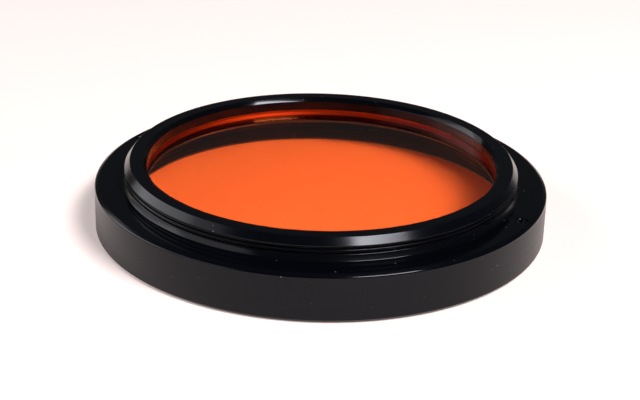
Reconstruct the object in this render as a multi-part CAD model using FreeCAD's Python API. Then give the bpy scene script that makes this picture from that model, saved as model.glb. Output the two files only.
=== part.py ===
import FreeCAD
import Part
import math
import os

# Underwater camera filter: an orange disc in a black anodised ring, all round the Z axis.
# It rests on the front face of its ring, at height 0, and the threaded collar that screws
# into the lens port points up.

# Male thread of the collar, M67 x 0.75
port_thread_diameter = 67.0
port_thread_length = 2.4

# Wide chamfer above the thread, which leads the collar into the port, and the small shoulder
# where the collar runs into the flange
lead_chamfer_height = 1.2
lead_chamfer_width = 0.9
shoulder_size = 0.7

# Clear opening through the collar, and the lip under it that stops the disc
collar_wall = 3.7
opening_chamfer = 0.35
lip_thickness = 2.3
lip_overlap = 0.8

# Disc
disc_thickness = 3.2
disc_bevel = 0.4

# Retaining ring, screwed up against the disc in a pocket that is threaded M62 x 0.5
pocket_clearance = 0.4
retainer_thread_clearance = 0.05
retainer_height = 1.5
retainer_recess = 0.5
retainer_chamfer = 0.35
retainer_lead_width = 0.8
retainer_lead_height = 1.0
retainer_slot_width = 2.0
retainer_slot_depth = 0.7
retainer_slot_count = 2

# Front thread, M67 x 0.75 like the port's, for a further filter or a shade
front_thread_diameter = 67.0
front_thread_pitch = 0.75
front_mouth_chamfer = 0.5
front_relief_height = 1.0
front_relief_depth = 0.1

# Flange, whose plain outer wall is the grip
flange_wall = 5.1
flange_height = 8.2
flange_top_chamfer_width = 0.7
flange_top_chamfer_height = 0.4
flange_base_chamfer = 0.55

# Blind holes for a pin spanner, in the flange's seating face
spanner_hole_radius = 0.9
spanner_hole_depth = 1.5
spanner_hole_edge_gap = 1.3
spanner_hole_angle = -26.3
spanner_hole_count = 2

# Share of the pitch that a metric female thread takes off the radius
internal_thread_depth_share = 0.5413

# How far a cutting tool runs past the surface that it enters
tool_overrun = 1.0

# Radii that follow
port_thread_radius = port_thread_diameter / 2
collar_top_radius = port_thread_radius - lead_chamfer_width
shoulder_radius = port_thread_radius + shoulder_size
opening_radius = port_thread_radius - collar_wall
disc_radius = opening_radius + lip_overlap
pocket_radius = disc_radius + pocket_clearance
front_thread_radius = front_thread_diameter / 2
front_bore_radius = front_thread_radius - internal_thread_depth_share * front_thread_pitch
front_relief_radius = front_thread_radius + front_relief_depth
flange_radius = front_thread_radius + flange_wall
flange_face_radius = flange_radius - flange_top_chamfer_width
spanner_hole_circle_radius = flange_face_radius - spanner_hole_edge_gap

# Heights that follow
port_thread_top = flange_height + port_thread_length
top_height = port_thread_top + lead_chamfer_height
disc_top = top_height - lip_thickness
disc_base = disc_top - disc_thickness
retainer_base = disc_base - retainer_height
chamber_top = retainer_base - retainer_recess

AXIS = FreeCAD.Vector(0, 0, 1)
ORIGIN = FreeCAD.Vector(0, 0, 0)


def turned(profile):
    """Turns a closed outline of (radius, height) points round the axis."""
    corners = [FreeCAD.Vector(radius, 0, height) for radius, height in profile]
    outline = Part.makePolygon(corners + [corners[0]])
    return Part.Face(outline).revolve(ORIGIN, AXIS, 360)


def filter_ring():
    """The turned aluminium ring: flange, threaded collar, lip, pocket and front thread."""
    outside = [
        (front_thread_radius, 0),
        (flange_radius - flange_base_chamfer, 0),
        (flange_radius, flange_base_chamfer),
        (flange_radius, flange_height - flange_top_chamfer_height),
        (flange_face_radius, flange_height),
        (shoulder_radius, flange_height),
        (port_thread_radius, flange_height + shoulder_size),
        (port_thread_radius, port_thread_top),
        (collar_top_radius, top_height),
    ]
    inside = [
        (opening_radius + opening_chamfer, top_height),
        (opening_radius, top_height - opening_chamfer),
        (opening_radius, disc_top),
        (pocket_radius, disc_top),
        (pocket_radius, chamber_top),
        (front_relief_radius, chamber_top),
        (front_relief_radius, chamber_top - front_relief_height),
        (front_bore_radius, chamber_top - front_relief_height),
        (front_bore_radius, front_mouth_chamfer),
    ]
    ring = turned(outside + inside)
    for hole in spanner_holes():
        ring = ring.cut(hole)
    return ring


def spanner_holes():
    """Blind round holes, evenly spaced on a circle in the seating face."""
    holes = []
    for index in range(spanner_hole_count):
        angle = math.radians(spanner_hole_angle + index * 360 / spanner_hole_count)
        centre = FreeCAD.Vector(
            spanner_hole_circle_radius * math.cos(angle),
            spanner_hole_circle_radius * math.sin(angle),
            flange_height - spanner_hole_depth,
        )
        holes.append(Part.makeCylinder(spanner_hole_radius, spanner_hole_depth + tool_overrun, centre, AXIS))
    return holes


def filter_disc():
    """The orange disc, with a ground bevel round both edges."""
    bevel_radius = disc_radius - disc_bevel
    return turned([
        (0, disc_base),
        (bevel_radius, disc_base),
        (disc_radius, disc_base + disc_bevel),
        (disc_radius, disc_top - disc_bevel),
        (bevel_radius, disc_top),
        (0, disc_top),
    ])


def retaining_ring():
    """The thin threaded ring that clamps the disc, with slots for a spanner in its front face."""
    outer_radius = pocket_radius - retainer_thread_clearance
    ring = turned([
        (opening_radius + retainer_chamfer, retainer_base),
        (outer_radius - retainer_chamfer, retainer_base),
        (outer_radius, retainer_base + retainer_chamfer),
        (outer_radius, disc_base),
        (opening_radius + retainer_lead_width, disc_base),
        (opening_radius, disc_base - retainer_lead_height),
        (opening_radius, retainer_base + retainer_chamfer),
    ])
    slot_length = outer_radius - opening_radius + 2 * tool_overrun
    for index in range(retainer_slot_count):
        slot = Part.makeBox(
            slot_length,
            retainer_slot_width,
            retainer_slot_depth + tool_overrun,
            FreeCAD.Vector(opening_radius - tool_overrun, -retainer_slot_width / 2, retainer_base - tool_overrun),
        )
        slot.rotate(ORIGIN, AXIS, index * 360 / retainer_slot_count)
        ring = ring.cut(slot)
    return ring


PIECES = {
    "filter_ring": filter_ring,
    "filter_disc": filter_disc,
    "retaining_ring": retaining_ring,
}

os.makedirs("parts", exist_ok=True)
for name, make in PIECES.items():
    shape = make()
    shape.exportStep(os.path.join("parts", name + ".step"))
    print(name, "volume", round(shape.Volume, 1), "valid", shape.isValid(), "solids", len(shape.Solids))
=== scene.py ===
# Underwater camera filter: an orange disc in a black anodised ring, lying on its front face
# with the lens side up. Lengths are written in millimetres and made metres by MM.
import bmesh
import bpy
import math
from mathutils import Matrix, Vector


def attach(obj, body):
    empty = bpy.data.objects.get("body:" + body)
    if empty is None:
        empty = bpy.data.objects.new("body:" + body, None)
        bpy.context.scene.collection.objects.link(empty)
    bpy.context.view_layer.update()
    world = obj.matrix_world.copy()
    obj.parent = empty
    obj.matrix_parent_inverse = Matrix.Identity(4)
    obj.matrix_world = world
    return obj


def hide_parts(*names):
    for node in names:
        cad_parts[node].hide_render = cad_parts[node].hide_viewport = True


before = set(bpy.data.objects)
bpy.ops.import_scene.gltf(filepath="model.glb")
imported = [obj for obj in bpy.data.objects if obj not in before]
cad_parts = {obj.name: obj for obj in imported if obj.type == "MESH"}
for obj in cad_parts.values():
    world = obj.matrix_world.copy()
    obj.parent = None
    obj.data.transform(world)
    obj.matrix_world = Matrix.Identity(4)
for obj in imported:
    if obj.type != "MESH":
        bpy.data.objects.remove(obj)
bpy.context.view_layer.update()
MM = 0.001


# Camera: a long lens from the front, looking down on the filter and tilted a little, as the
# photograph was taken. The values come from fitting the rims' ellipses.
camera_elevation = math.radians(23.35)
camera_tilt = math.radians(1.56)
camera_distance = 276.8 * MM
camera_target = Vector((-0.07, 0, 3.825)) * MM
camera_lens = 90
camera_sensor = 36
camera_nearest = 10 * MM
camera_farthest = 10

camera_data = bpy.data.cameras.new("camera")
camera_data.lens = camera_lens
camera_data.sensor_width = camera_sensor
camera_data.clip_start = camera_nearest
camera_data.clip_end = camera_farthest
camera = bpy.data.objects.new("camera", camera_data)
bpy.context.scene.collection.objects.link(camera)
bpy.context.scene.camera = camera
backwards = Vector((0, -math.cos(camera_elevation), math.sin(camera_elevation)))
to_the_right = Vector((1, 0, 0))
upwards = backwards.cross(to_the_right)
turned_to_object = Matrix((to_the_right, upwards, backwards)).transposed().to_4x4()
tilt = Matrix.Rotation(camera_tilt, 4, "Z")
camera_place = Matrix.Translation(camera_target + backwards * camera_distance)
camera.matrix_world = camera_place @ turned_to_object @ tilt


# Filter ring: one piece of aluminium, turned on a lathe, threaded outside for the lens port and
# inside for a further filter and for the retaining ring, then bead-blasted on the grip, drilled
# for a pin spanner and anodised black.
port_thread_radius = 33.5
port_thread_pitch = 0.75
port_thread_depth = 0.4
port_thread_top = 10.65
collar_top_radius = 32.6
ring_top = 11.8
opening_radius = 29.8
opening_chamfer_radius = 30.4
opening_chamfer_base = 11.1
lip_base = 9.5
pocket_radius = 31.0
pocket_thread_pitch = 0.5
pocket_thread_depth = 0.27
pocket_crest_radius = 30.73
pocket_thread_top = 6.6
pocket_thread_base = 4.6
pocket_thread_lead = 0.2
chamber_top = 4.3
relief_radius = 33.6
relief_base = 3.3
front_crest_radius = 33.094
front_root_radius = 33.5
front_thread_pitch = 0.75
front_mouth = 0.5
flange_radius = 38.6
flange_face_radius = 37.9
flange_top = 8.2
flange_wall_top = 7.8
polished_edge = 0.3
satin_fade = 0.1
flange_base_chamfer = 0.55
shoulder_radius = 33.9
shoulder_top = 8.95

# Roundings, from the crisp ends of a thread to the worn edge of the grip
crisp_rounding = 0.03
slight_rounding = 0.05
edge_rounding = 0.08
eased_rounding = 0.1
face_rounding = 0.12
foot_rounding = 0.15
opening_rounding = 0.2
grip_rounding = 0.4

# How satin a run is, from 0 for bright turning to 1 for the blasted grip
full_satin = 1.0
lead_satin = 0.3
opening_satin = 0.4

# Rows of points along the runs that carry a thread, and along the grip's wall
wall_rows = 4
port_thread_rows = 40
lead_rows = 28
pocket_thread_rows = 36
front_thread_rows = 42

# Numbers that tell the threads apart, and which way the crests point from the root
port_thread = 1
pocket_thread = 2
front_thread = 3
retainer_thread = 4
crests_outwards = 1.0
crests_inwards = -1.0

# At the near side, which is at -90 degrees, the photograph shows a crest at 9.8 mm and others a
# pitch apart below it. The thread starts and runs out at the back of the collar.
near_side = -90
port_crest_height = 9.8
thread_start_angle = 165
thread_start_reach = 15
thread_lowest = 9.0

# Heights past both ends of the part, for a thread with no start or end in it, and its fade
no_start = -100
no_end = 100
thread_fade = 0.03

# Shares of the pitch that are flat on each side of the middle of a root and of a crest
root_flat = 0.09
crest_flat = 0.14

spanner_hole_count = 2
spanner_hole_angle = -26.3
spanner_hole_circle = 36.6
spanner_hole_radius = 0.9
spanner_hole_depth = 1.5
spanner_hole_countersink = 0.25
spanner_hole_steps = 32
drill_tip_height = 0.5

ring_steps = 408
rounding_steps = 4
sharp_angle = math.radians(75)
flat_face_weight = 100
merge_distance = 0.002 * MM


def corner(radius, height, rounding=edge_rounding, rows=1, thread=0, satin=0.0):
    """One corner of a turned outline; rows, thread and satin belong to the run that follows it."""
    place = Vector((radius, height))
    return dict(place=place, rounding=rounding, rows=rows, thread=thread, satin=satin)


def outline_points(corners):
    """The outline's points: an arc at each corner, and rows of points along each run."""
    ends = []
    for index, this in enumerate(corners):
        before = corners[index - 1]["place"]
        after = corners[(index + 1) % len(corners)]["place"]
        here = this["place"]
        towards_before = (before - here).normalized()
        towards_after = (after - here).normalized()
        opening = towards_before.angle(towards_after)
        if this["rounding"] == 0:
            ends.append([here])
            continue
        reach = this["rounding"] / math.tan(opening / 2)
        middle = (towards_before + towards_after).normalized()
        centre = here + middle * (this["rounding"] / math.sin(opening / 2))
        first = here + towards_before * reach - centre
        last = here + towards_after * reach - centre
        arc = []
        for step in range(rounding_steps + 1):
            share = step / rounding_steps
            arc.append(centre + first.lerp(last, share).normalized() * this["rounding"])
        ends.append(arc)
    points = []
    for index, this in enumerate(corners):
        earlier = corners[index - 1]
        for place in ends[index][:-1]:
            points.append((place, 0, earlier["satin"]))
        start = ends[index][-1]
        stop = ends[(index + 1) % len(corners)][0]
        for row in range(this["rows"]):
            place = start.lerp(stop, row / this["rows"])
            points.append((place, this["thread"], this["satin"]))
    return points


def outline_mesh(name, corners):
    """A mesh of loose points, in the order of the outline, with the thread and finish of each."""
    points = outline_points(corners)
    mesh = bpy.data.meshes.new(name)
    mesh.from_pydata([(place.x * MM, 0, place.y * MM) for place, thread, satin in points], [], [])
    mesh.attributes.new("thread", "INT", "POINT")
    mesh.attributes.new("satin", "FLOAT", "POINT")
    mesh.attributes["thread"].data.foreach_set("value", [thread for place, thread, satin in points])
    mesh.attributes["satin"].data.foreach_set("value", [satin for place, thread, satin in points])
    return mesh


def add(tree, kind, *values, **settings):
    """Adds a node, with its settings, and feeds its inputs in order with links or plain values."""
    made = tree.nodes.new(kind)
    for name, value in settings.items():
        setattr(made, name, value)
    for index, value in enumerate(values):
        if isinstance(value, bpy.types.NodeSocket):
            tree.links.new(value, made.inputs[index])
        elif value is not None:
            made.inputs[index].default_value = value
    return made


def sum_of(tree, operation, *values):
    """A Math node's result."""
    return add(tree, "ShaderNodeMath", *values, operation=operation).outputs[0]


def attribute_of(tree, name, kind):
    """What a geometry attribute holds."""
    return add(tree, "GeometryNodeInputNamedAttribute", name, data_type=kind).outputs[0]


def mixed_value(tree, share, first, second):
    """A value between two, by their share."""
    return add(tree, "ShaderNodeMix", share, None, first, second, data_type="FLOAT").outputs[0]


def distance_from_axis(tree, x, y):
    """How far a point lies from the Z axis."""
    squares = sum_of(tree, "ADD", sum_of(tree, "MULTIPLY", x, x), sum_of(tree, "MULTIPLY", y, y))
    return sum_of(tree, "SQRT", squares)


def add_inputs(tree, inputs):
    """Adds named inputs to a tree or group, each with its kind and first value."""
    for name, (kind, value) in inputs.items():
        socket = tree.interface.new_socket(name, in_out="INPUT", socket_type=kind)
        if value is not None:
            socket.default_value = value


def thread_group():
    """Cuts a V-shaped groove along a right-handed helix into the points that carry its number."""
    group = bpy.data.node_groups.new("cut thread", "GeometryNodeTree")
    add_inputs(group, {
        "Geometry": ("NodeSocketGeometry", None),
        "Thread Number": ("NodeSocketInt", port_thread),
        "Root Radius": ("NodeSocketFloat", (port_thread_radius - port_thread_depth) * MM),
        "Depth": ("NodeSocketFloat", port_thread_depth * MM),
        "Pitch": ("NodeSocketFloat", port_thread_pitch * MM),
        "Groove Height": ("NodeSocketFloat", 0.0),
        "Lowest": ("NodeSocketFloat", no_start * MM),
        "Highest": ("NodeSocketFloat", no_end * MM),
        "Fade": ("NodeSocketFloat", thread_fade * MM),
        "Side": ("NodeSocketFloat", crests_outwards),
    })
    group.interface.new_socket("Geometry", in_out="OUTPUT", socket_type="NodeSocketGeometry")
    given = add(group, "NodeGroupInput").outputs
    position = add(group, "GeometryNodeInputPosition").outputs[0]
    x, y, z = add(group, "ShaderNodeSeparateXYZ", position).outputs
    radius = distance_from_axis(group, x, y)
    climb = sum_of(group, "DIVIDE", sum_of(group, "ARCTAN2", y, x), 2 * math.pi)
    above_groove = sum_of(group, "SUBTRACT", z, given["Groove Height"])
    turns = sum_of(group, "DIVIDE", above_groove, given["Pitch"])
    along = sum_of(group, "SUBTRACT", turns, climb)
    nearest = sum_of(group, "ROUND", along)
    away = sum_of(group, "ABSOLUTE", sum_of(group, "SUBTRACT", along, nearest))
    groove_turns = sum_of(group, "ADD", nearest, climb)
    groove = sum_of(group, "MULTIPLY_ADD", groove_turns, given["Pitch"], given["Groove Height"])
    above = sum_of(group, "DIVIDE", sum_of(group, "SUBTRACT", groove, given["Lowest"]), given["Fade"])
    below = sum_of(group, "DIVIDE", sum_of(group, "SUBTRACT", given["Highest"], groove), given["Fade"])
    depth_share = add(group, "ShaderNodeClamp", sum_of(group, "MINIMUM", above, below)).outputs[0]
    flank_width = 0.5 - root_flat - crest_flat
    flank = sum_of(group, "DIVIDE", sum_of(group, "SUBTRACT", away, root_flat), flank_width)
    rise = add(group, "ShaderNodeClamp", flank).outputs[0]
    height = sum_of(group, "MAXIMUM", rise, sum_of(group, "SUBTRACT", 1.0, depth_share))
    offset = sum_of(group, "MULTIPLY", height, given["Depth"])
    surface = sum_of(group, "MULTIPLY_ADD", offset, given["Side"], given["Root Radius"])
    outside = sum_of(group, "MINIMUM", radius, surface)
    inside = sum_of(group, "MAXIMUM", radius, surface)
    is_outside = sum_of(group, "GREATER_THAN", given["Side"], 0.0)
    new_radius = mixed_value(group, is_outside, inside, outside)
    scale = sum_of(group, "DIVIDE", new_radius, radius)
    new_x = sum_of(group, "MULTIPLY", x, scale)
    new_y = sum_of(group, "MULTIPLY", y, scale)
    moved = add(group, "ShaderNodeCombineXYZ", new_x, new_y, z).outputs[0]
    number = attribute_of(group, "thread", "INT")
    same = add(
        group,
        "FunctionNodeCompare",
        None,
        None,
        number,
        given["Thread Number"],
        data_type="INT",
        operation="EQUAL",
    ).outputs[0]
    cut = add(group, "GeometryNodeSetPosition", given["Geometry"], same, moved).outputs[0]
    add(group, "NodeGroupOutput", cut)
    return group


def sampled(tree, points, value, index, kind):
    """The value that the outline's point of this index holds."""
    return add(tree, "GeometryNodeSampleIndex", points, value, index, data_type=kind).outputs[0]


def stored(tree, geometry, name, value, kind):
    """The geometry with the value stored on its points under a name."""
    kept = add(
        tree,
        "GeometryNodeStoreNamedAttribute",
        geometry,
        None,
        name,
        value,
        data_type=kind,
        domain="POINT",
    )
    return kept.outputs[0]


def turned_about_axis(tree, vector, angle):
    """A vector turned about the Z axis."""
    turning = add(tree, "ShaderNodeVectorRotate", vector, None, None, angle, rotation_type="Z_AXIS")
    return turning.outputs[0]


def turning_group():
    """Turns an outline of points round the Z axis and closes the skin."""
    group = bpy.data.node_groups.new("turn outline", "GeometryNodeTree")
    add_inputs(group, {
        "Outline": ("NodeSocketGeometry", None),
        "Steps": ("NodeSocketInt", ring_steps),
    })
    group.interface.new_socket("Geometry", in_out="OUTPUT", socket_type="NodeSocketGeometry")
    given = add(group, "NodeGroupInput").outputs
    outline = given["Outline"]
    count = add(group, "GeometryNodeAttributeDomainSize", outline).outputs[0]
    across = sum_of(group, "ADD", given["Steps"], 1.0)
    along = sum_of(group, "ADD", count, 1.0)
    grid = add(group, "GeometryNodeMeshGrid", 1.0, 1.0, across, along).outputs[0]
    index = add(group, "GeometryNodeInputIndex").outputs[0]
    column = sum_of(group, "FLOOR", sum_of(group, "DIVIDE", sum_of(group, "ADD", index, 0.5), along))
    row = sum_of(group, "SUBTRACT", index, sum_of(group, "MULTIPLY", column, along))
    wrapped = sum_of(group, "FLOORED_MODULO", row, count)
    place = add(group, "GeometryNodeInputPosition").outputs[0]
    there = sampled(group, outline, place, wrapped, "FLOAT_VECTOR")
    angle = sum_of(group, "DIVIDE", sum_of(group, "MULTIPLY", column, 2 * math.pi), given["Steps"])
    turned = turned_about_axis(group, there, angle)
    threads = sampled(group, outline, attribute_of(group, "thread", "INT"), wrapped, "INT")
    satins = sampled(group, outline, attribute_of(group, "satin", "FLOAT"), wrapped, "FLOAT")
    shaped = add(group, "GeometryNodeSetPosition", grid, None, turned).outputs[0]
    numbered = stored(group, shaped, "thread", threads, "INT")
    finished = stored(group, numbered, "satin", satins, "FLOAT")
    merged = add(group, "GeometryNodeMergeByDistance", finished, None, merge_distance).outputs[0]
    add(group, "NodeGroupOutput", merged)
    return group


cut_thread = thread_group()
turn_outline = turning_group()


def turned_tree(name, threads, cut_outs):
    """A tree that turns an outline, cuts each named thread and takes the cut-outs away."""
    tree = bpy.data.node_groups.new(name, "GeometryNodeTree")
    add_inputs(tree, {
        "Outline": ("NodeSocketGeometry", None),
        "Steps": ("NodeSocketInt", ring_steps),
        "Material": ("NodeSocketMaterial", None),
    })
    for thread, sizes in threads.items():
        for size, value in sizes.items():
            kind = "NodeSocketInt" if size == "Thread Number" else "NodeSocketFloat"
            add_inputs(tree, {thread + " " + size: (kind, value)})
    for cut_out, sizes in cut_outs.items():
        add_inputs(tree, {
            cut_out + " Cutter": ("NodeSocketObject", None),
            cut_out + " Count": ("NodeSocketInt", sizes["Count"]),
            cut_out + " Circle Radius": ("NodeSocketFloat", sizes["Circle Radius"]),
            cut_out + " Angle": ("NodeSocketFloat", sizes["Angle"]),
        })
    tree.interface.new_socket("Geometry", in_out="OUTPUT", socket_type="NodeSocketGeometry")
    given = add(tree, "NodeGroupInput").outputs
    turning = add(tree, "GeometryNodeGroup", node_tree=turn_outline)
    tree.links.new(given["Outline"], turning.inputs["Outline"])
    tree.links.new(given["Steps"], turning.inputs["Steps"])
    shape = turning.outputs[0]
    for thread, sizes in threads.items():
        cutting = add(tree, "GeometryNodeGroup", node_tree=cut_thread)
        tree.links.new(shape, cutting.inputs["Geometry"])
        for size in sizes:
            tree.links.new(given[thread + " " + size], cutting.inputs[size])
        shape = cutting.outputs[0]
    for cut_out in cut_outs:
        cutter = add(tree, "GeometryNodeObjectInfo", given[cut_out + " Cutter"]).outputs["Geometry"]
        index = add(tree, "GeometryNodeInputIndex").outputs[0]
        share = sum_of(tree, "DIVIDE", index, given[cut_out + " Count"])
        angle = sum_of(tree, "MULTIPLY_ADD", share, 2 * math.pi, given[cut_out + " Angle"])
        facing = add(tree, "ShaderNodeCombineXYZ", None, None, angle).outputs[0]
        arm = add(tree, "ShaderNodeCombineXYZ", given[cut_out + " Circle Radius"]).outputs[0]
        spot = turned_about_axis(tree, arm, angle)
        spots = add(tree, "GeometryNodePoints", given[cut_out + " Count"], spot).outputs[0]
        rotation = add(tree, "FunctionNodeEulerToRotation", facing).outputs[0]
        copies = add(
            tree, "GeometryNodeInstanceOnPoints", spots, None, cutter, None, None, rotation
        ).outputs[0]
        tools = add(tree, "GeometryNodeRealizeInstances", copies).outputs[0]
        taking = add(
            tree, "GeometryNodeMeshBoolean", shape, tools, operation="DIFFERENCE", solver="MANIFOLD"
        )
        shape = taking.outputs[0]
    smooth = add(tree, "GeometryNodeSetShadeSmooth", shape).outputs[0]
    real = add(tree, "GeometryNodeRealizeInstances", smooth).outputs[0]
    named = add(tree, "GeometryNodeSetMaterial", real, None, given["Material"]).outputs[0]
    add(tree, "NodeGroupOutput", named)
    return tree


def plain_mesh(thing):
    """A plain mesh of an object with its modifiers applied."""
    evaluated = thing.evaluated_get(bpy.context.evaluated_depsgraph_get())
    mesh = bpy.data.meshes.new_from_object(evaluated)
    mesh.name = thing.name
    return mesh


def turned_object(
    name, corners, steps, material, threads=None, cut_outs=None, cutters=None, sharp=sharp_angle
):
    """Makes a plain mesh object from an outline by a tree of its own."""
    rough = bpy.data.objects.new(name + "_outline", outline_mesh(name + "_outline", corners))
    bpy.context.scene.collection.objects.link(rough)
    tree = turned_tree(name + " turned", threads or {}, cut_outs or {})
    modifier = rough.modifiers.new("turned", "NODES")
    modifier.node_group = tree
    values = {"Steps": steps, "Material": material}
    values.update(cutters or {})
    for item in tree.interface.items_tree:
        if item.in_out == "INPUT" and item.name in values:
            modifier[item.identifier] = values[item.name]
    mesh = plain_mesh(rough)
    bpy.data.objects.remove(rough)
    skin = bmesh.new()
    skin.from_mesh(mesh)
    loose = [edge for edge in skin.edges if not edge.link_faces]
    bmesh.ops.delete(skin, geom=loose, context="EDGES")
    bmesh.ops.recalc_face_normals(skin, faces=skin.faces)
    skin.to_mesh(mesh)
    skin.free()
    mesh.set_sharp_from_angle(angle=sharp)
    made = bpy.data.objects.new(name, mesh)
    bpy.context.scene.collection.objects.link(made)
    flattening = made.modifiers.new("flat faces", "WEIGHTED_NORMAL")
    flattening.keep_sharp = True
    flattening.weight = flat_face_weight
    finished = plain_mesh(made)
    finished.materials.clear()
    finished.materials.append(material)
    finished.polygons.foreach_set("material_index", [0] * len(finished.polygons))
    made.modifiers.clear()
    made.data = finished
    return made


def turning_marks():
    """Fine rings that a lathe tool leaves round the axis, as a height and a roughness change."""
    group = bpy.data.node_groups.new("turning marks", "ShaderNodeTree")
    add_inputs(group, {
        "Rings per Metre": ("NodeSocketFloat", 9000.0),
        "Waviness": ("NodeSocketFloat", 2.0),
    })
    for name in ("Height", "Variation"):
        group.interface.new_socket(name, in_out="OUTPUT", socket_type="NodeSocketFloat")
    given = add(group, "NodeGroupInput").outputs
    place = add(group, "ShaderNodeTexCoord").outputs["Object"]
    x, y, z = add(group, "ShaderNodeSeparateXYZ", place).outputs
    across = sum_of(group, "MULTIPLY", distance_from_axis(group, x, y), given["Rings per Metre"])
    up = sum_of(group, "MULTIPLY", z, given["Rings per Metre"])
    angle = sum_of(group, "ARCTAN2", y, x)
    around = sum_of(group, "MULTIPLY", sum_of(group, "SINE", angle), given["Waviness"])
    rings = add(group, "ShaderNodeCombineXYZ", across, up, around).outputs[0]
    fine = add(group, "ShaderNodeTexNoise", rings)
    fine.inputs["Scale"].default_value = 1.0
    fine.inputs["Detail"].default_value = 2.0
    broad = add(group, "ShaderNodeTexNoise", rings)
    broad.inputs["Scale"].default_value = 0.12
    broad.inputs["Detail"].default_value = 1.0
    add(group, "NodeGroupOutput", fine.outputs[0], broad.outputs[0])
    return group


def dust_specks():
    """Sparse specks of dust of mixed sizes, as a mask."""
    group = bpy.data.node_groups.new("dust specks", "ShaderNodeTree")
    add_inputs(group, {
        "Specks per Metre": ("NodeSocketFloat", 1100.0),
        "Size": ("NodeSocketFloat", 0.11),
        "Sparseness": ("NodeSocketFloat", 0.8),
    })
    group.interface.new_socket("Mask", in_out="OUTPUT", socket_type="NodeSocketFloat")
    given = add(group, "NodeGroupInput").outputs
    place = add(group, "ShaderNodeTexCoord").outputs["Object"]
    cells = add(group, "ShaderNodeTexVoronoi", place)
    group.links.new(given["Specks per Metre"], cells.inputs["Scale"])
    chance, share = add(group, "ShaderNodeSeparateColor", cells.outputs["Color"]).outputs[:2]
    size = sum_of(group, "MULTIPLY", given["Size"], share)
    near = sum_of(group, "LESS_THAN", cells.outputs["Distance"], size)
    kept = sum_of(group, "GREATER_THAN", chance, given["Sparseness"])
    add(group, "NodeGroupOutput", sum_of(group, "MULTIPLY", near, kept))
    return group


turning_marks_group = turning_marks()
dust_specks_group = dust_specks()


def material_of(name):
    """An empty node material, its tree and its output node."""
    material = bpy.data.materials.new(name)
    material.use_nodes = True
    material.node_tree.nodes.clear()
    output = material.node_tree.nodes.new("ShaderNodeOutputMaterial")
    return material, material.node_tree, output


def mixed_colour(tree, share, first, second):
    """A colour between two, by their share; the Mix node's colours come after five other inputs."""
    others = [None] * 5
    return add(tree, "ShaderNodeMix", share, *others, first, second, data_type="RGBA").outputs[2]


def grain_over(tree, scale):
    """Noise over the surface, this many grains to a metre."""
    grain = add(tree, "ShaderNodeTexNoise", add(tree, "ShaderNodeTexCoord").outputs["Object"])
    grain.inputs["Scale"].default_value = scale
    return grain


anodised_index = 1.31
anodised_tint = (0.92, 0.92, 1.0, 1.0)
anodised_turn = 0.25
dust_colour = (0.16, 0.16, 0.17, 1.0)
turned_roughness_swing = 0.08
blasted_grain = 6500.0
blasted_depth = 0.004 * MM


def anodised(name, colour, gloss_roughness, satin_roughness, anisotropy, ring_depth):
    """Black anodised aluminium: dyed oxide over turned metal, satin where it is blasted."""
    material, tree, output = material_of(name)
    surface = add(tree, "ShaderNodeBsdfPrincipled")
    surface.inputs["IOR"].default_value = anodised_index
    surface.inputs["Specular Tint"].default_value = anodised_tint
    surface.inputs["Anisotropic"].default_value = anisotropy
    surface.inputs["Anisotropic Rotation"].default_value = anodised_turn
    marks = add(tree, "ShaderNodeGroup", node_tree=turning_marks_group).outputs
    dust = add(tree, "ShaderNodeGroup", node_tree=dust_specks_group).outputs
    satin = add(tree, "ShaderNodeAttribute", attribute_name="satin").outputs["Fac"]
    finish = mixed_value(tree, satin, gloss_roughness, satin_roughness)
    change = sum_of(
        tree, "MULTIPLY_ADD", marks["Variation"], turned_roughness_swing, -turned_roughness_swing / 2
    )
    tree.links.new(sum_of(tree, "ADD", finish, change), surface.inputs["Roughness"])
    tree.links.new(mixed_colour(tree, dust["Mask"], colour, dust_colour), surface.inputs["Base Color"])
    rings = add(tree, "ShaderNodeBump", None, ring_depth)
    rings.inputs["Strength"].default_value = 1.0
    tree.links.new(marks["Height"], rings.inputs["Height"])
    grain = grain_over(tree, blasted_grain)
    blasted = add(tree, "ShaderNodeBump")
    blasted.inputs["Distance"].default_value = blasted_depth
    tree.links.new(satin, blasted.inputs["Strength"])
    tree.links.new(grain.outputs[0], blasted.inputs["Height"])
    tree.links.new(rings.outputs[0], blasted.inputs["Normal"])
    tree.links.new(blasted.outputs[0], surface.inputs["Normal"])
    tangent = add(tree, "ShaderNodeTangent", direction_type="RADIAL", axis="Z").outputs[0]
    tree.links.new(tangent, surface.inputs["Tangent"])
    tree.links.new(surface.outputs[0], output.inputs["Surface"])
    return material


ring_black = anodised(
    "black anodised aluminium",
    colour=(0.001, 0.0015, 0.0028, 1.0),
    gloss_roughness=0.1,
    satin_roughness=0.36,
    anisotropy=0.5,
    ring_depth=0.0006 * MM,
)

spanner_hole_floor = flange_top - spanner_hole_depth
spanner_hole_mouth = spanner_hole_radius + 2 * spanner_hole_countersink
spanner_hole_tool = turned_object(
    "spanner_hole_tool",
    [
        corner(0, spanner_hole_floor - drill_tip_height, rounding=0),
        corner(spanner_hole_radius, spanner_hole_floor, rounding=0),
        corner(spanner_hole_radius, flange_top - spanner_hole_countersink, rounding=0),
        corner(spanner_hole_mouth, flange_top + spanner_hole_countersink, rounding=0),
        corner(0, flange_top + spanner_hole_countersink, rounding=0),
    ],
    steps=spanner_hole_steps,
    material=ring_black,
)

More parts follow.
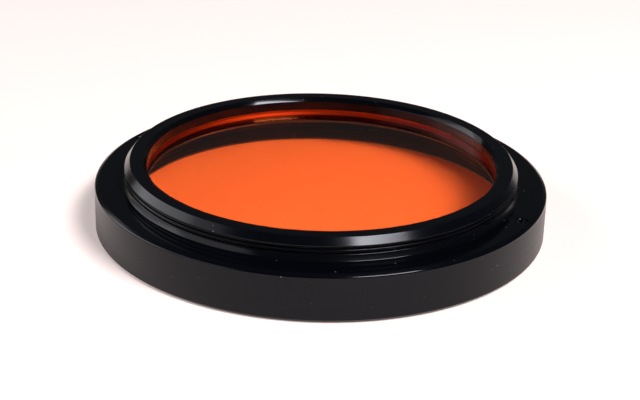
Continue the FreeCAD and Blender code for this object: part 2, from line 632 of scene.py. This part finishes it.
satin_top = flange_wall_top - polished_edge - satin_fade
gloss_base = flange_wall_top - polished_edge
pocket_crest_top = pocket_thread_top - pocket_thread_lead
port_groove_at_zero = port_crest_height - port_thread_pitch / 2 - port_thread_pitch * near_side / 360
highest_groove = port_groove_at_zero + port_thread_pitch * (1 + (near_side + thread_start_angle) / 360)
filter_ring = turned_object(
    "filter_ring_turned",
    [
        corner(front_root_radius, 0, slight_rounding),
        corner(flange_radius - flange_base_chamfer, 0, eased_rounding),
        corner(flange_radius, flange_base_chamfer, foot_rounding, rows=wall_rows, satin=full_satin),
        corner(flange_radius, satin_top, rounding=0, satin=full_satin),
        corner(flange_radius, gloss_base, rounding=0),
        corner(flange_radius, flange_wall_top, grip_rounding, satin=lead_satin),
        corner(flange_face_radius, flange_top, face_rounding),
        corner(shoulder_radius, flange_top, foot_rounding, satin=lead_satin),
        corner(
            port_thread_radius,
            shoulder_top,
            eased_rounding,
            rows=port_thread_rows,
            thread=port_thread,
            satin=lead_satin,
        ),
        corner(
            port_thread_radius,
            port_thread_top,
            slight_rounding,
            rows=lead_rows,
            thread=port_thread,
            satin=lead_satin,
        ),
        corner(collar_top_radius, ring_top, eased_rounding),
        corner(opening_chamfer_radius, ring_top),
        corner(opening_radius, opening_chamfer_base, opening_rounding, satin=opening_satin),
        corner(opening_radius, lip_base, eased_rounding),
        corner(pocket_radius, lip_base, eased_rounding),
        corner(pocket_radius, pocket_thread_top, rounding=0),
        corner(
            pocket_crest_radius,
            pocket_crest_top,
            rounding=0,
            rows=pocket_thread_rows,
            thread=pocket_thread,
        ),
        corner(pocket_crest_radius, pocket_thread_base, rounding=0),
        corner(pocket_radius, chamber_top, slight_rounding),
        corner(relief_radius, chamber_top, eased_rounding),
        corner(relief_radius, relief_base, crisp_rounding),
        corner(
            front_crest_radius,
            relief_base,
            crisp_rounding,
            rows=front_thread_rows,
            thread=front_thread,
        ),
        corner(front_crest_radius, front_mouth, crisp_rounding),
    ],
    steps=ring_steps,
    material=ring_black,
    threads={
        "Port Thread": {
            "Thread Number": port_thread,
            "Root Radius": (port_thread_radius - port_thread_depth) * MM,
            "Depth": port_thread_depth * MM,
            "Pitch": port_thread_pitch * MM,
            "Groove Height": port_groove_at_zero * MM,
            "Lowest": thread_lowest * MM,
            "Highest": highest_groove * MM,
            "Fade": port_thread_pitch * thread_start_reach / 360 * MM,
            "Side": crests_outwards,
        },
        "Pocket Thread": {
            "Thread Number": pocket_thread,
            "Root Radius": pocket_radius * MM,
            "Depth": pocket_thread_depth * MM,
            "Pitch": pocket_thread_pitch * MM,
            "Groove Height": pocket_thread_pitch / 2 * MM,
            "Lowest": no_start * MM,
            "Highest": no_end * MM,
            "Fade": thread_fade * MM,
            "Side": crests_inwards,
        },
        "Front Thread": {
            "Thread Number": front_thread,
            "Root Radius": front_root_radius * MM,
            "Depth": (front_root_radius - front_crest_radius) * MM,
            "Pitch": front_thread_pitch * MM,
            "Groove Height": 0.0,
            "Lowest": no_start * MM,
            "Highest": no_end * MM,
            "Fade": thread_fade * MM,
            "Side": crests_inwards,
        },
    },
    cut_outs={
        "Spanner Hole": {
            "Count": spanner_hole_count,
            "Circle Radius": spanner_hole_circle * MM,
            "Angle": math.radians(spanner_hole_angle),
        },
    },
    cutters={"Spanner Hole Cutter": spanner_hole_tool},
)
bpy.data.objects.remove(spanner_hole_tool)
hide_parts("filter_ring")
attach(filter_ring, "root")


# Filter disc: optical glass dyed orange right through, polished on both faces, with a finely ground
# edge and bevels. It lies in the ring's pocket, against the lip, and the retaining ring holds it.
disc_radius = 30.6
disc_top = 9.5
disc_base = 6.3
disc_bevel = 0.4
disc_lower_bevel = 0.8
disc_clearance = 0.005
disc_steps = 300
disc_sharp_angle = math.radians(30)
glass_index = 1.5
glass_clearness = 0.95
dye_colour = (0.965, 0.74, 0.52, 1.0)
dye_density = 1000.0

# Faces whose normals rise less than ground_slope belong to the ground edge
ground_slope = 0.9
ground_slot = 1
ground_grain = 900.0
ground_roughness = 0.32
ground_roughness_swing = 0.1
frost_pale = (0.38, 0.12, 0.035, 1.0)
frost_deep = (0.3, 0.075, 0.02, 1.0)
frost_gleam = 0.85


def orange_glass():
    """Dyed glass with clear polished faces, whose colour grows with its depth."""
    material, tree, output = material_of("orange glass")
    glass = add(tree, "ShaderNodeBsdfPrincipled")
    glass.inputs["Base Color"].default_value = (1.0, 1.0, 1.0, 1.0)
    glass.inputs["Transmission Weight"].default_value = 1.0
    glass.inputs["IOR"].default_value = glass_index
    glass.inputs["Roughness"].default_value = 0.0
    clear_colour = (glass_clearness, glass_clearness, glass_clearness, 1.0)
    clear = add(tree, "ShaderNodeBsdfTransparent", clear_colour)
    shadow = add(tree, "ShaderNodeLightPath").outputs["Is Shadow Ray"]
    surface = add(tree, "ShaderNodeMixShader", shadow, glass.outputs[0], clear.outputs[0])
    tree.links.new(surface.outputs[0], output.inputs["Surface"])
    dye = add(tree, "ShaderNodeVolumeAbsorption", dye_colour, dye_density)
    tree.links.new(dye.outputs[0], output.inputs["Volume"])
    return material


def ground_edge():
    """The finely ground edge, frosted by the wheel and orange from the dye under it."""
    material, tree, output = material_of("ground glass edge")
    surface = add(tree, "ShaderNodeBsdfPrincipled")
    surface.inputs["IOR"].default_value = glass_index
    surface.inputs["Metallic"].default_value = frost_gleam
    grain = grain_over(tree, ground_grain).outputs[0]
    tree.links.new(mixed_colour(tree, grain, frost_pale, frost_deep), surface.inputs["Base Color"])
    smoothest = ground_roughness - ground_roughness_swing / 2
    roughness = sum_of(tree, "MULTIPLY_ADD", grain, ground_roughness_swing, smoothest)
    tree.links.new(roughness, surface.inputs["Roughness"])
    tree.links.new(surface.outputs[0], output.inputs["Surface"])
    return material


filter_disc = turned_object(
    "filter_disc_turned",
    [
        corner(0, disc_base + disc_clearance, rounding=0),
        corner(disc_radius - disc_lower_bevel, disc_base + disc_clearance, rounding=0),
        corner(disc_radius, disc_base + disc_lower_bevel, rounding=0),
        corner(disc_radius, disc_top - disc_bevel, rounding=0),
        corner(disc_radius - disc_bevel, disc_top - disc_clearance, rounding=0),
        corner(0, disc_top - disc_clearance, rounding=0),
    ],
    steps=disc_steps,
    material=orange_glass(),
    sharp=disc_sharp_angle,
)
filter_disc.data.materials.append(ground_edge())
for face in filter_disc.data.polygons:
    if abs(face.normal.z) < ground_slope:
        face.material_index = ground_slot
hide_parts("filter_disc")
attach(filter_disc, "root")


# Retaining ring: a thin turned aluminium ring, threaded outside, that screws up against the disc
# from the front. Two slots in its front face take a spanner.
retainer_radius = 30.95
retainer_bore = 29.8
retainer_base = 4.8
retainer_top = 6.3
retainer_chamfer = 0.35
retainer_lead_width = 0.8
retainer_lead_height = 1.0
retainer_slot_count = 2
retainer_slot_width = 2.0
retainer_slot_depth = 0.7
retainer_tool_length = 4
retainer_tool_overrun = 1
retainer_thread_rows = 24
retainer_steps = 300


def slot_tool():
    """The block that a milling cutter would clear, lying along X over the origin."""
    mesh = bpy.data.meshes.new("retainer_slot_tool")
    block = bmesh.new()
    bmesh.ops.create_cube(block, size=1.0)
    slot_floor = retainer_base + retainer_slot_depth
    tool_base = retainer_base - retainer_tool_overrun
    for point in block.verts:
        point.co.x *= retainer_tool_length * MM
        point.co.y *= retainer_slot_width * MM
        point.co.z = (slot_floor if point.co.z > 0 else tool_base) * MM
    block.to_mesh(mesh)
    block.free()
    made = bpy.data.objects.new("retainer_slot_tool", mesh)
    bpy.context.scene.collection.objects.link(made)
    return made


retainer_slot_tool = slot_tool()
retaining_ring = turned_object(
    "retaining_ring_turned",
    [
        corner(retainer_bore + retainer_chamfer, retainer_base, slight_rounding),
        corner(retainer_radius - retainer_chamfer, retainer_base, slight_rounding),
        corner(
            retainer_radius,
            retainer_base + retainer_chamfer,
            crisp_rounding,
            rows=retainer_thread_rows,
            thread=retainer_thread,
        ),
        corner(retainer_radius, retainer_top, crisp_rounding),
        corner(retainer_bore + retainer_lead_width, retainer_top, slight_rounding),
        corner(retainer_bore, retainer_top - retainer_lead_height, slight_rounding),
        corner(retainer_bore, retainer_base + retainer_chamfer, slight_rounding),
    ],
    steps=retainer_steps,
    material=ring_black,
    threads={
        "Retainer Thread": {
            "Thread Number": retainer_thread,
            "Root Radius": (retainer_radius - pocket_thread_depth) * MM,
            "Depth": pocket_thread_depth * MM,
            "Pitch": pocket_thread_pitch * MM,
            "Groove Height": 0.0,
            "Lowest": no_start * MM,
            "Highest": no_end * MM,
            "Fade": thread_fade * MM,
            "Side": crests_outwards,
        },
    },
    cut_outs={
        "Slot": {
            "Count": retainer_slot_count,
            "Circle Radius": (retainer_bore + retainer_radius) / 2 * MM,
            "Angle": 0.0,
        },
    },
    cutters={"Slot Cutter": retainer_slot_tool},
)
bpy.data.objects.remove(retainer_slot_tool)
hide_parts("retaining_ring")
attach(retaining_ring, "root")


# Floor: pale paper that the filter lies on, which keeps the filter's shadow. It is lifted towards
# white where it is looked at straight or in a reflection, and not behind the disc.
floor_size = 3.0
floor_gap = 0.01 * MM
paper_colour = (0.85, 0.725, 0.7, 1.0)
paper_lift_colour = (1.0, 0.87, 0.85, 1.0)
paper_lift_strength = 0.3

floor_mesh = bpy.data.meshes.new("floor")
paper = bmesh.new()
bmesh.ops.create_grid(paper, x_segments=1, y_segments=1, size=floor_size / 2)
bmesh.ops.translate(paper, verts=paper.verts, vec=(0, 0, -floor_gap))
paper.to_mesh(floor_mesh)
paper.free()
floor = bpy.data.objects.new("floor", floor_mesh)
bpy.context.scene.collection.objects.link(floor)
floor_white, floor_tree, floor_output = material_of("white paper")
paper_surface = add(floor_tree, "ShaderNodeBsdfDiffuse", paper_colour)
seen = add(floor_tree, "ShaderNodeLightPath").outputs
mirrored = sum_of(floor_tree, "SUBTRACT", seen["Is Glossy Ray"], seen["Is Transmission Ray"])
looked_at = sum_of(floor_tree, "MAXIMUM", seen["Is Camera Ray"], mirrored)
lift_strength = sum_of(floor_tree, "MULTIPLY", looked_at, paper_lift_strength)
paper_lift = add(floor_tree, "ShaderNodeEmission", paper_lift_colour, lift_strength)
paper_sum = add(floor_tree, "ShaderNodeAddShader", paper_surface.outputs[0], paper_lift.outputs[0])
floor_tree.links.new(paper_sum.outputs[0], floor_output.inputs["Surface"])
floor_mesh.materials.append(floor_white)


# Light: a soft box at the front right, a window in a pale wall at the left, and a dim room.
room_brightness = 0.05


def soft_box(name, azimuth, elevation, distance, width, height, radiance):
    """A rectangular lamp that faces the filter; the azimuth is from the front towards the right."""
    data = bpy.data.lights.new(name, "AREA")
    data.shape = "RECTANGLE"
    data.size = width
    data.size_y = height
    data.energy = radiance * math.pi * width * height
    lamp = bpy.data.objects.new(name, data)
    turn = math.radians(azimuth)
    lift = math.radians(elevation)
    away = Vector((math.sin(turn) * math.cos(lift), -math.cos(turn) * math.cos(lift), math.sin(lift)))
    lamp.location = away * distance
    lamp.rotation_mode = "QUATERNION"
    lamp.rotation_quaternion = away.to_track_quat("Z", "Y")
    bpy.context.scene.collection.objects.link(lamp)


soft_box("key", azimuth=42, elevation=52, distance=0.7, width=0.30, height=0.17, radiance=35.0)
soft_box("window", azimuth=-105, elevation=25, distance=1.2, width=0.87, height=0.47, radiance=2.2)
soft_box("pale wall", azimuth=-88, elevation=24, distance=1.2, width=2.2, height=0.85, radiance=1.4)

world = bpy.data.worlds.new("dim room")
world.use_nodes = True
background = world.node_tree.nodes["Background"]
background.inputs["Color"].default_value = (room_brightness, room_brightness, room_brightness, 1.0)
background.inputs["Strength"].default_value = 1.0
bpy.context.scene.world = world
bpy.context.scene.view_settings.view_transform = "Standard"
